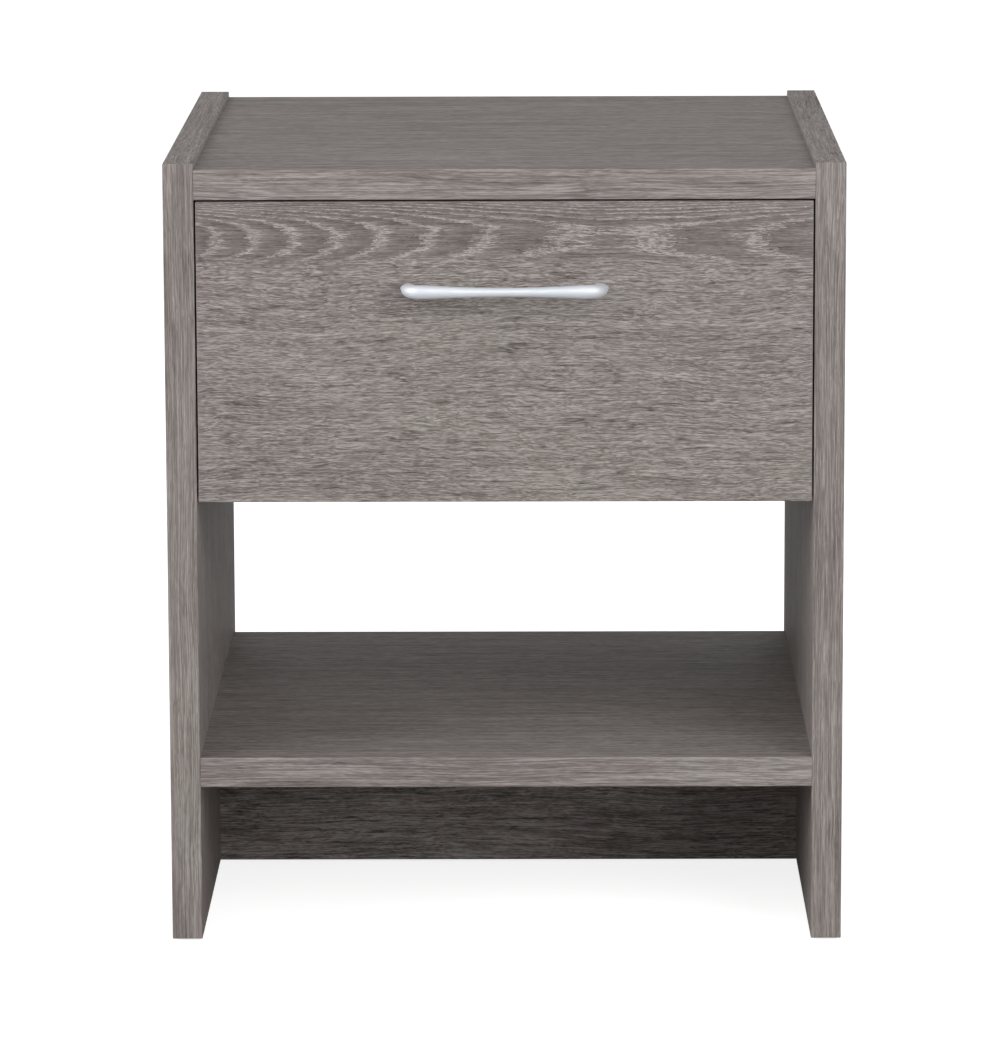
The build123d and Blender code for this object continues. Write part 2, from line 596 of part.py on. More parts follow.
for side, name in zip(SIDES, ("drawer_left_side", "drawer_right_side")):
    with BuildPart() as drawer_side:
        with Locations((side * side_mid_x, box_mid_y, box_mid_z)):
            Box(DRAWER_BOARD, BOX_LENGTH, BOX_HEIGHT)
        fillet(drawer_side.edges().filter_by(Axis.Y), ARRIS)
        groove(BOX_INNER + 2 * DRAWER_GROOVE_DEPTH, FACE_BACK, BOX_BACK)
        drill_drawer()
    save(drawer_side, name)

with BuildPart() as drawer_back:
    with Locations((0, BOX_BACK - DRAWER_BOARD / 2, (BOTTOM_UPPER + BOX_TOP) / 2)):
        Box(BOX_INNER, DRAWER_BOARD, BOX_TOP - BOTTOM_UPPER)
    fillet(drawer_back.edges().filter_by(Axis.X).group_by(Axis.Z)[-1], ARRIS)
    drill_drawer()
save(drawer_back, "drawer_back")

with BuildPart() as drawer_bottom:
    with Locations((0, BOX_BACK, BOTTOM_LOWER)):
        Box(BOX_INNER + 2 * BOTTOM_TONGUE, BOX_LENGTH + BOTTOM_TONGUE, HARDBOARD,
            align=(Align.CENTER, Align.MAX, Align.MIN))
    cut(bottom_screw_drilling, bottom_screw_frames)
save(drawer_bottom, "drawer_bottom")

# ------------------------------------------------------------------ drawer fittings
drawer_bolt = cam_bolt(SMALL_THREAD_LENGTH, SMALL_BOLT_REACH, SMALL_SHANK_RADIUS,
                       SMALL_HEAD_RADIUS, SMALL_CAM_RADIUS)
drawer_cam = cam_lock(SMALL_BOLT_REACH, SMALL_HEAD_RADIUS, SMALL_CAM_RADIUS, DRAWER_BOARD)
drawer_dowel = dowel(SMALL_DOWEL_RADIUS, SMALL_DOWEL_IN_PANEL, SMALL_DOWEL_IN_BOARD)
back_screw = screw(SCREW_RADIUS, WOOD_SCREW_LENGTH, SCREW_HEAD_RADIUS, SCREW_HEAD)
handle_screw = screw(SCREW_RADIUS, BOARD + HANDLE_SCREW_IN_FOOT - HANDLE_SCREW_SPARE,
                     HANDLE_SCREW_HEAD_RADIUS, HANDLE_SCREW_HEAD)
save(copies(drawer_bolt, drawer_cam_frames), "drawer_cam_bolts")
save(copies(drawer_cam, drawer_cam_frames), "drawer_cam_locks")
save(copies(drawer_dowel, drawer_dowel_frames), "drawer_dowels")
save(copies(back_screw, back_screw_frames), "drawer_back_screws")
save(copies(runner_screw, bottom_screw_frames), "drawer_bottom_screws")
save(copies(handle_screw, handle_frames), "handle_screws")

# ------------------------------------------------------------------ handle
# The bar's centreline in plan: straight legs out of the drawer front, a quarter bend, then a
# slightly bowed bar. Its oval section thins from the feet to mid span.
leg_x = HANDLE_CENTRES / 2
bar_out = HANDLE_REACH - BAR_DEPTH / 2
shoulder_out = bar_out - BAR_BOW
bend_x = leg_x - BEND_RADIUS
bend_out = shoulder_out - BEND_RADIUS


def leg_section(t):
    """Section from the foot (t = 0) to the start of the bend (t = 1)"""
    ease = 1 - (1 - t) ** 2
    across = FOOT_WIDTH + (SHOULDER_WIDTH + 1 - FOOT_WIDTH) * ease
    return leg_x, bend_out * t, 0, across, FOOT_HEIGHT


def bend_section(t):
    """Section round the quarter bend"""
    turn = t * pi / 2
    across = SHOULDER_WIDTH + 1 - t
    tall = FOOT_HEIGHT + (SHOULDER_HEIGHT - FOOT_HEIGHT) * t
    return (bend_x + BEND_RADIUS * cos(turn), bend_out + BEND_RADIUS * sin(turn),
            90 * t, across - 1.2 * t, tall)


def bar_section(t):
    """Section from the shoulder (t = 0) to mid span (t = 1)"""
    ease = sin(t * pi / 2)
    across = SHOULDER_WIDTH - 1.2 + (BAR_DEPTH - SHOULDER_WIDTH + 1.2) * ease
    tall = SHOULDER_HEIGHT + (BAR_HEIGHT - SHOULDER_HEIGHT) * ease
    return bend_x * (1 - t), shoulder_out + BAR_BOW * ease, 90, across, tall


half_sections = [leg_section(t) for t in (0, 0.5)]
half_sections += [bend_section(t) for t in (0, 0.33, 0.67)]
half_sections += [bar_section(t) for t in (0, 0.25, 0.5, 0.75)]
middle = bar_section(1)
far_half = [(-x, out, 180 - turn, across, tall)
            for x, out, turn, across, tall in reversed(half_sections)]

with BuildPart() as handle:
    for x, out, turn, across, tall in half_sections + [middle] + far_half:
        heading = Vector(0, -1, 0).rotate(Axis.Z, -turn)
        with BuildSketch(Plane((x, FRONT - out, HANDLE_Z), z_dir=heading,
                               x_dir=heading.rotate(Axis.Z, 90))):
            Ellipse(across / 2, tall / 2)
    loft()
    cut(handle_drilling, handle_frames)
save(handle, "handle")

print("drawer travel", TRAVEL, "roller radius", ROLLER_RADIUS)
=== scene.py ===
# %% [markdown]
# # A flat-pack nightstand in grey oak foil
# The real thing is made of 18 mm chipboard covered with a printed, lightly embossed foil. The
# boards, the drawer, its runners and its fittings come from the design model, and they already
# have their true shapes. This notebook dresses them: it sets up a small photo studio, mixes the
# finishes from nodes, and models the one free-form piece, the bow handle, in the scene.

# %% Load the design model
import math

import bmesh
import bpy
from mathutils import Matrix, Vector


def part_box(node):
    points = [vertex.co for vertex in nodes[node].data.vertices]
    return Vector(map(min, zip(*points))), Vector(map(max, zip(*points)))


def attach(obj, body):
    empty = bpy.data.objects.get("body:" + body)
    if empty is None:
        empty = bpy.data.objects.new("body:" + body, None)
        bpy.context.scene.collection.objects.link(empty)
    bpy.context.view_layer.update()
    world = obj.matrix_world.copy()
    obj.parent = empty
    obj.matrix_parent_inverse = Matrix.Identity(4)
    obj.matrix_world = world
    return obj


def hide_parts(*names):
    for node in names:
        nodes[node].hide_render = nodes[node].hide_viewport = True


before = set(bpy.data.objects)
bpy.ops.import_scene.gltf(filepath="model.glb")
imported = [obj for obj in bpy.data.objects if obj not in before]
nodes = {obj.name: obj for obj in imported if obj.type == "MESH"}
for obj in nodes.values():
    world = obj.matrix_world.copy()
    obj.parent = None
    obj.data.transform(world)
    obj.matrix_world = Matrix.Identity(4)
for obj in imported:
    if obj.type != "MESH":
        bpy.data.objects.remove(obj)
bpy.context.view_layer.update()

MM = 0.001

# %% [markdown]
# ## Places
# Every position is read off a named piece, so nothing here has to be kept in step by hand. The
# corner of a piece's box is its lowest or highest point along each axis.

# %% Read the places that the finishes are laid out from
side_low, side_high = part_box("left_side_panel")
face_low, face_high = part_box("drawer_front")
handle_low, handle_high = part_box("handle")
front_y = side_low.y
print("front faces at y =", round(front_y, 4), "handle", handle_low[:], handle_high[:])

# %% [markdown]
# ## The camera
# Product pictures of furniture are taken with a long lens from a few metres away, so that the
# uprights stay nearly parallel. The camera stands a little above the top and looks slightly
# down. It is placed by a matrix made of three turns, which keeps each turn readable: yaw about
# the vertical, pitch about the camera's own side axis, and a trace of roll.

# %% Place the camera
CAMERA_FROM_FRONT = 3.3471
CAMERA_X = 0.0214
CAMERA_HEIGHT = 0.8638
PITCH_DOWN = math.radians(10.36)
YAW = math.radians(-0.42)
ROLL = math.radians(-0.19)
LENS_MM = 196.7

camera_data = bpy.data.cameras.new("camera")
camera_data.lens = LENS_MM
camera_data.clip_end = 200
camera = bpy.data.objects.new("camera", camera_data)
bpy.context.scene.collection.objects.link(camera)
camera.matrix_world = (
    Matrix.Translation((CAMERA_X, front_y - CAMERA_FROM_FRONT, CAMERA_HEIGHT))
    @ Matrix.Rotation(-YAW, 4, "Z")
    @ Matrix.Rotation(math.pi / 2 - PITCH_DOWN, 4, "X")
    @ Matrix.Rotation(ROLL, 4, "Z")
)
bpy.context.scene.camera = camera
print("camera at", [round(v, 3) for v in camera.matrix_world.translation])

# %% [markdown]
# ## Wiring helpers
# A node tree is easier to read when one line adds a node, sets it and joins its inputs. `put`
# does that: an input may be a plain value or another node's output.


# %% Add and join nodes in one line
def put(tree, kind, inputs=(), **settings):
    """Add a node, set its properties, and set or join its inputs"""
    node = tree.nodes.new(kind)
    for name, value in settings.items():
        setattr(node, name, value)
    for key, value in dict(inputs).items():
        if isinstance(value, bpy.types.NodeSocket):
            tree.links.new(value, node.inputs[key])
        else:
            node.inputs[key].default_value = value
    return node


def maths(tree, operation, *values, clamp=False):
    """Output of a Math node"""
    node = put(tree, "ShaderNodeMath", dict(enumerate(values)), operation=operation)
    node.use_clamp = clamp
    return node.outputs[0]


def vector_maths(tree, operation, *values):
    """Output of a Vector Math node"""
    node = put(tree, "ShaderNodeVectorMath", dict(enumerate(values)), operation=operation)
    return node.outputs["Value" if operation == "DOT_PRODUCT" else "Vector"]


def remap(tree, value, low, high, out_low=0.0, out_high=1.0, ease="LINEAR"):
    """Value stretched from one range to another and held at the new range's ends"""
    return put(tree, "ShaderNodeMapRange",
               {"Value": value, "From Min": low, "From Max": high,
                "To Min": out_low, "To Max": out_high}, interpolation_type=ease).outputs[0]


def noise(tree, position, scale, detail=2.0, roughness=0.55, contrast=1.0):
    """Noise from -1 to 1, with features of about one scale-th of a metre along each axis"""
    stretched = vector_maths(tree, "MULTIPLY", position, scale)
    texture = put(tree, "ShaderNodeTexNoise", {"Vector": stretched, "Scale": 1.0,
                                               "Detail": detail, "Roughness": roughness})
    reach = 0.25 / contrast
    return remap(tree, texture.outputs[0], 0.5 - reach, 0.5 + reach, -1.0, 1.0)


def mix(tree, kind, factor, first, second):
    """Blend of two values, vectors or colours: kind is FLOAT, VECTOR or RGBA"""
    return put(tree, "ShaderNodeMix", {"Factor": factor, "A": first, "B": second},
               data_type=kind).outputs["Result"]


def new_group(name, inputs, outputs):
    """Node group with named sockets: returns its tree, its input node and its output node"""
    tree = bpy.data.node_groups.new(name, "ShaderNodeTree")
    for label, kind, default in inputs:
        socket = tree.interface.new_socket(label, in_out="INPUT", socket_type=kind)
        if default is not None:
            socket.default_value = default
    for label, kind in outputs:
        tree.interface.new_socket(label, in_out="OUTPUT", socket_type=kind)
    return tree, tree.nodes.new("NodeGroupInput"), tree.nodes.new("NodeGroupOutput")


def use_group(tree, group, inputs):
    """Place a node group and set or join its inputs"""
    node = tree.nodes.new("ShaderNodeGroup")
    node.node_tree = group
    for key, value in inputs.items():
        if isinstance(value, bpy.types.NodeSocket):
            tree.links.new(value, node.inputs[key])
        else:
            node.inputs[key].default_value = value
    return node


FLOAT, VECTOR, COLOR = "NodeSocketFloat", "NodeSocketVector", "NodeSocketColor"
print("wiring helpers ready")

# %% [markdown]
# ## The studio
# A softbox is an area light: the larger it is, the softer the edge of every shadow. Two tall
# ones stand to the left and the right in front, so the fronts read brighter than the top. A wide
# one hangs high behind the camera and lifts the top. Two small ones stand low behind the piece
# and brighten the walls of the open compartment. An even surround fills the rest: it lights the
# piece as a mid grey would, and a camera that looks past the floor sees it white.

# %% Light the studio
WHITE = (1.0, 1.0, 1.0, 1)
SURROUND_LIGHT = 0.385
SURROUND_SEEN = 1.0


def softbox(name, azimuth, height, distance, size, watts):
    """Area light aimed at the piece: its azimuth is counted from the front towards the right"""
    data = bpy.data.lights.new(name, "AREA")
    data.shape = "RECTANGLE"
    data.size, data.size_y = size
    data.energy = watts
    lamp = bpy.data.objects.new(name, data)
    bpy.context.scene.collection.objects.link(lamp)
    turn = math.radians(azimuth)
    lamp.location = (distance * math.sin(turn), -distance * math.cos(turn), height)
    aim = Vector((0, 0, side_high.z / 2)) - lamp.location
    lamp.rotation_euler = aim.to_track_quat("-Z", "Y").to_euler()
    return lamp


softbox("key_softbox", -62, 1.45, 3.0, (1.8, 2.2), 59)
softbox("fill_softbox", 36, 1.35, 3.0, (1.8, 2.0), 46)
softbox("front_softbox", -6, 2.5, 4.4, (3.2, 1.4), 25)
softbox("left_back_softbox", -152, 0.55, 2.2, (1.2, 0.7), 2.5)
softbox("right_back_softbox", 152, 0.55, 2.2, (1.2, 0.7), 3.5)

world = bpy.data.worlds.new("studio")
bpy.context.scene.world = world
world.use_nodes = True
sky = world.node_tree
surround = sky.nodes["Background"]
surround.inputs["Color"].default_value = WHITE
seen_directly = put(sky, "ShaderNodeLightPath").outputs["Is Camera Ray"]
sky.links.new(remap(sky, seen_directly, 0.0, 1.0, SURROUND_LIGHT, SURROUND_SEEN),
              surround.inputs["Strength"])
bpy.context.scene.view_settings.view_transform = "Standard"

# %% [markdown]
# ## The floor
# A wide flat white disc that runs out of sight. Its own material tells the camera's rays from the
# rest:
# the camera sees a nearly white floor with a faint shadow under the piece, while the light that
# bounces off it is that of a mid-grey one, so the undersides stay in shade.

# %% Lay the floor
FLOOR_RADIUS = 30.0
FLOOR_GLOW = 0.82
FLOOR_SEEN = (0.60, 0.60, 0.60, 1)
FLOOR_LIT = (0.50, 0.50, 0.50, 1)

bm = bmesh.new()
bmesh.ops.create_circle(bm, cap_ends=True, segments=96, radius=FLOOR_RADIUS)
floor_mesh = bpy.data.meshes.new("floor")
bm.to_mesh(floor_mesh)
bm.free()
floor = bpy.data.objects.new("floor", floor_mesh)
bpy.context.scene.collection.objects.link(floor)

floor_material = bpy.data.materials.new("pale_floor")
floor_material.use_nodes = True
paint = floor_material.node_tree
paint.nodes.clear()
seen = put(paint, "ShaderNodeBsdfDiffuse", {"Color": FLOOR_SEEN}).outputs[0]
glow = put(paint, "ShaderNodeEmission", {"Strength": FLOOR_GLOW}).outputs[0]
lit = put(paint, "ShaderNodeBsdfDiffuse", {"Color": FLOOR_LIT}).outputs[0]
glowing = put(paint, "ShaderNodeAddShader", {0: seen, 1: glow}).outputs[0]
is_camera = put(paint, "ShaderNodeLightPath").outputs["Is Camera Ray"]
either = put(paint, "ShaderNodeMixShader", {"Fac": is_camera, 1: lit, 2: glowing}).outputs[0]
put(paint, "ShaderNodeOutputMaterial", {"Surface": either})
floor_mesh.materials.append(floor_material)
print("floor radius", FLOOR_RADIUS, "m")

# %% [markdown]
# ## Oak figure: flecks and streaks
# Sawn oak is a bundle of fibres, so everything in it is drawn out along the grain. Its vessels
# give thousands of short dark dashes with pale ones between them, about 10 mm long and less than
# 1 mm wide. Longer streaks and slow changes of tone lie under them. Each is the same noise,
# stretched along X and read at another scale. Fibres wander, so the position is pushed sideways
# first: a slow sway bends everything, and a quicker ripple is added for the flecks. A few vessels
# show as long thin dark lines. They lie where another noise passes through zero, because a
# narrow range round one value of a stretched noise is a long thin line.

# %% Build the oak figure group: flecks and streaks
oak_figure, gin, gout = new_group(
    "oak_figure",
    [("Position", VECTOR, None), ("Arch Along", FLOAT, 0.06), ("Arch Across", FLOAT, 0.0),
     ("Reach Low", FLOAT, 0.0613), ("Reach High", FLOAT, 0.0764),
     ("Spread Low", FLOAT, 0.0150), ("Spread High", FLOAT, 0.0115),
     ("Arch Half Width", FLOAT, 0.020), ("Arch Strength", FLOAT, 1.0),
     ("Fleck Strength", FLOAT, 1.0), ("Streak Strength", FLOAT, 1.0)],
    [("Tone", FLOAT), ("Height", FLOAT), ("Tint", FLOAT)])

SWAY, RIPPLE = 14.0 * MM, 3.6 * MM
VESSEL_CORE, VESSEL_EDGE = 0.03, 0.15


def push_sideways(position, scale, detail, amount):
    """Position moved across the grain by a noise that is read at the unmoved place"""
    wander = put(oak_figure, "ShaderNodeTexNoise", {
        "Vector": vector_maths(oak_figure, "MULTIPLY", place, scale),
        "Scale": 1.0, "Detail": detail}).outputs["Color"]
    wander = vector_maths(oak_figure, "SUBTRACT", wander, (0.5, 0.5, 0.5))
    wander = vector_maths(oak_figure, "MULTIPLY", wander, (0.0, amount, amount))
    return vector_maths(oak_figure, "ADD", position, wander)


place = gin.outputs["Position"]
bent = push_sideways(place, (7, 16, 16), 1.5, SWAY)
rippled = push_sideways(bent, (42, 75, 75), 1.0, RIPPLE)

fine_flecks = noise(oak_figure, rippled, (260, 2600, 2600), 1.0, 0.5, contrast=3.0)
long_flecks = noise(oak_figure, rippled, (95, 1900, 1900), 1.0, 0.5, contrast=2.6)
lines = noise(oak_figure, bent, (15, 1200, 1200), 1.5, 0.5, contrast=2.2)
streaks = noise(oak_figure, bent, (10, 230, 230), 2.0, 0.5, contrast=1.7)
patches = noise(oak_figure, place, (7, 24, 24), 2.0, 0.5, contrast=1.4)
course = noise(oak_figure, rippled, (13, 310, 310), 2.0, 0.5)
vessels = remap(oak_figure, maths(oak_figure, "ABSOLUTE", course), VESSEL_CORE, VESSEL_EDGE,
                1.0, 0.0)
broken_up = remap(oak_figure, noise(oak_figure, place, (60, 260, 260), 1.0), -0.2, 0.4)
vessels = maths(oak_figure, "MULTIPLY", vessels, broken_up)
print("flecks, lines, streaks, patches and vessels wired")

# %% [markdown]
# ## Oak figure: cathedral arches
# Where the saw ran flat to the growth rings, they surface as nested arches. They are contours of
# a saddle: a count of rings that rises with the distance along the grain, less one that rises
# with the distance across it. A power of 1.5 along sets the outer arches closer together, and a
# cube across keeps each tip blunt and its legs long. Only the fraction of a ring matters. It
# climbs slowly and drops back at once, which gives each arch a pale edge with a shadow behind it.
# Flecks are added to the count before its fraction is taken, so the edge frays into fibres as
# the printed one does.

# %% Build the oak figure group: arches
POWER_ALONG, POWER_ACROSS = 1.5, 3.0
COUNT_AT_CENTRE = 0.75
PALE_FROM, PALE_TO = 0.74, 0.96
SHADOW_FROM, SHADOW_DEPTH = 0.85, -0.5
BAND_LIFT, BAND_CORE = 0.3, 0.78


def rings_in(distance, ring):
    """Distance as a share of the first ring's width"""
    return maths(oak_figure, "DIVIDE", maths(oak_figure, "ABSOLUTE", distance), ring)


split = put(oak_figure, "ShaderNodeSeparateXYZ", {0: bent}).outputs
along = maths(oak_figure, "SUBTRACT", split["X"], gin.outputs["Arch Along"])
across = maths(oak_figure, "SUBTRACT", split["Z"], gin.outputs["Arch Across"])
reach = mix(oak_figure, "FLOAT", maths(oak_figure, "GREATER_THAN", along, 0.0),
            gin.outputs["Reach Low"], gin.outputs["Reach High"])
rings_along = maths(oak_figure, "POWER", rings_in(along, reach), POWER_ALONG)
spread = mix(oak_figure, "FLOAT", maths(oak_figure, "GREATER_THAN", across, 0.0),
             gin.outputs["Spread Low"], gin.outputs["Spread High"])
rings_across = maths(oak_figure, "POWER", rings_in(across, spread), POWER_ACROSS)
rings = maths(oak_figure, "SUBTRACT", rings_along, rings_across)
rings = maths(oak_figure, "ADD", rings, COUNT_AT_CENTRE)
for fray, weight in ((streaks, 0.10), (long_flecks, 0.10), (fine_flecks, 0.07)):
    rings = maths(oak_figure, "MULTIPLY_ADD", fray, weight, rings)
fraction = maths(oak_figure, "FRACT", rings)
pale_edge = remap(oak_figure, fraction, PALE_FROM, PALE_TO, ease="SMOOTHSTEP")
shadow = remap(oak_figure, fraction, SHADOW_FROM, 0.0)
arch_tone = maths(oak_figure, "MULTIPLY_ADD", shadow, SHADOW_DEPTH, pale_edge)
half_width = gin.outputs["Arch Half Width"]
from_middle = maths(oak_figure, "SUBTRACT", across,
                    maths(oak_figure, "MULTIPLY", half_width, BAND_LIFT))
in_band = remap(oak_figure, maths(oak_figure, "ABSOLUTE", from_middle), half_width,
                maths(oak_figure, "MULTIPLY", half_width, BAND_CORE), ease="SMOOTHSTEP")
arched = maths(oak_figure, "MULTIPLY", in_band, gin.outputs["Arch Strength"])
print("arches wired")

# %% [markdown]
# ## Oak figure: the mix
# The tone starts at a middle grey of 0.5, and every effect adds its share or takes it away. The
# flecks fade where the arches are, which keeps the arches clear, and both kinds of share are
# scaled by the group's inputs, so that one board can be calmer than another. Relief comes from
# the flecks alone, because only they are embossed.

# %% Build the oak figure group: mix
FINE_TONE, LONG_TONE, VESSEL_TONE = 0.15, 0.17, -0.34
FLECK_LIFT = 0.04          # makes up for what the vessels take away
CALM_IN_ARCHES = -0.6
STREAK_TONE, PATCH_TONE, LINE_TONE = 0.05, 0.03, 0.10
BAND_TONE, ARCH_TONE = -0.04, 0.48

flecks = maths(oak_figure, "MULTIPLY_ADD", fine_flecks, FINE_TONE,
               maths(oak_figure, "MULTIPLY", long_flecks, LONG_TONE))
flecks = maths(oak_figure, "MULTIPLY_ADD", vessels, VESSEL_TONE,
               maths(oak_figure, "ADD", flecks, FLECK_LIFT))
flecks = maths(oak_figure, "MULTIPLY", flecks,
               maths(oak_figure, "MULTIPLY_ADD", arched, CALM_IN_ARCHES, 1.0))
slow = maths(oak_figure, "MULTIPLY_ADD", streaks, STREAK_TONE,
             maths(oak_figure, "MULTIPLY", patches, PATCH_TONE))
slow = maths(oak_figure, "MULTIPLY_ADD", lines, LINE_TONE, slow)
tone = maths(oak_figure, "MULTIPLY_ADD", flecks, gin.outputs["Fleck Strength"], 0.5)
tone = maths(oak_figure, "MULTIPLY_ADD", slow, gin.outputs["Streak Strength"], tone)
tone = maths(oak_figure, "MULTIPLY_ADD", arched, BAND_TONE, tone)
tone = maths(oak_figure, "MULTIPLY_ADD", maths(oak_figure, "MULTIPLY", arch_tone, arched),
             ARCH_TONE, tone, clamp=True)
height = maths(oak_figure, "MULTIPLY_ADD", fine_flecks, 0.6,
               maths(oak_figure, "MULTIPLY", long_flecks, 0.4))
oak_figure.links.new(tone, gout.inputs["Tone"])
oak_figure.links.new(height, gout.inputs["Height"])
oak_figure.links.new(remap(oak_figure, patches, 0.1, 1.0), gout.inputs["Tint"])
print("oak figure group has", len(oak_figure.nodes), "nodes")

# %% [markdown]
# ## Grain direction
# A board's foil is cut with its grain along the board, and the strip ironed on an edge runs
# along that edge. So the faces of a side panel have upright grain, and its top edge has grain
# from front to back. The group turns a position so that X runs along the grain: along the
# board's own axis, or, on a face that looks straight along that axis, along a second one.

# %% Build the grain direction group
SQUARE_ON = 0.7            # cosine: a face turned by less than 45 degrees counts as facing

grain_direction, gin, gout = new_group(
    "grain_direction",
    [("Position", VECTOR, None), ("Face Normal", VECTOR, None), ("Grain Axis", VECTOR, None),
     ("Edge Axis", VECTOR, None), ("Shift", VECTOR, None)],
    [("Turned", VECTOR)])


def turned_to(axis):
    """Position with its length along the axis as X, and how far it lies across it as Y and Z"""
    length = vector_maths(grain_direction, "DOT_PRODUCT", gin.outputs["Position"], axis)
    lengthwise = put(grain_direction, "ShaderNodeVectorMath", {0: axis, "Scale": length},
                     operation="SCALE").outputs[0]
    rest = vector_maths(grain_direction, "SUBTRACT", gin.outputs["Position"], lengthwise)
    parts = put(grain_direction, "ShaderNodeSeparateXYZ", {0: rest}).outputs
    level = maths(grain_direction, "SUBTRACT", parts["X"], parts["Y"])
    lift = maths(grain_direction, "ADD", maths(grain_direction, "ADD", parts["X"], parts["Y"]),
                 parts["Z"])
    return put(grain_direction, "ShaderNodeCombineXYZ",
               {"X": length, "Y": level, "Z": lift}).outputs[0]


facing = maths(grain_direction, "ABSOLUTE",
               vector_maths(grain_direction, "DOT_PRODUCT", gin.outputs["Face Normal"],
                            gin.outputs["Grain Axis"]))
on_edge = maths(grain_direction, "GREATER_THAN", facing, SQUARE_ON)
chosen = mix(grain_direction, "VECTOR", on_edge, turned_to(gin.outputs["Grain Axis"]),
             turned_to(gin.outputs["Edge Axis"]))
grain_direction.links.new(vector_maths(grain_direction, "ADD", chosen, gin.outputs["Shift"]),
                          gout.inputs["Turned"])
print("grain direction group has", len(grain_direction.nodes), "nodes")

# %% [markdown]
# ## Bare chipboard
# Where no foil reaches, such as the back edges of the top and the shelf, the board itself shows.
# It is softwood chips pressed flat with glue: Voronoi cells, squeezed in height, each of its own
# tan, with darker gaps between.

# %% Build the chipboard group
chipboard, gin, gout = new_group("chipboard", [("Position", VECTOR, None)],
                                 [("Color", COLOR), ("Height", FLOAT)])
CHIP_FLATNESS = 1.8
CHIPS_PER_METRE = 520.0
DARK_CHIP, PALE_CHIP = (0.30, 0.205, 0.115, 1), (0.56, 0.43, 0.275, 1)
CHIP_GAP = (0.18, 0.115, 0.062, 1)

flattened = vector_maths(chipboard, "MULTIPLY", gin.outputs["Position"], (1, 1, CHIP_FLATNESS))
chips = put(chipboard, "ShaderNodeTexVoronoi", {"Vector": flattened, "Scale": CHIPS_PER_METRE})
chip_tone = put(chipboard, "ShaderNodeSeparateColor", {0: chips.outputs["Color"]}).outputs[0]
chip_colour = mix(chipboard, "RGBA", chip_tone, DARK_CHIP, PALE_CHIP)
gaps = remap(chipboard, chips.outputs["Distance"], 0.60, 0.95)
chip_colour = mix(chipboard, "RGBA", gaps, chip_colour, CHIP_GAP)
chipboard.links.new(chip_colour, gout.inputs["Color"])
chipboard.links.new(maths(chipboard, "SUBTRACT", chip_tone, gaps), gout.inputs["Height"])
print("chipboard group has", len(chipboard.nodes), "nodes")

# %% [markdown]
# ## Foil-covered boards
# One function makes the finish of every board. Each board has its own shift into the pattern,
# so that no two show the same figure. The foil is nearly matt, with a slight sheen that breaks
# up in the embossed flecks. Slow patches lean towards a greenish grey, as the print does. The
# strips on the front edges have calmer flecks and stronger streaks than the faces. One hidden
# side of most boards, the back edge or the lower one, has no foil.

# %% Make the oak foil finish
DARK_OAK = (0.076, 0.062, 0.056, 1)
MID_OAK = (0.220, 0.188, 0.176, 1)
PALE_OAK = (0.440, 0.395, 0.378, 1)
GREEN_GREY = (0.93, 1.03, 0.95, 1)
STRIP_FLECK = 0.5
STRIP_STREAK = 1.6
TINT_STRENGTH = 0.3
ROUGH_IN_PORES, ROUGH_BETWEEN, ROUGH_BARE = 0.60, 0.46, 0.9
EMBOSSING = 0.04 * MM


def principled(name):
    """New material: returns it, its tree and its Principled BSDF node"""
    material = bpy.data.materials.new(name)
    material.use_nodes = True
    return material, material.node_tree, material.node_tree.nodes["Principled BSDF"]


def set_bump(tree, shader, height, distance):
    """Drive a shader's normal from a height, in metres of relief"""
    bump = put(tree, "ShaderNodeBump", {"Height": height, "Strength": 1.0, "Distance": distance})
    tree.links.new(bump.outputs[0], shader.inputs["Normal"])


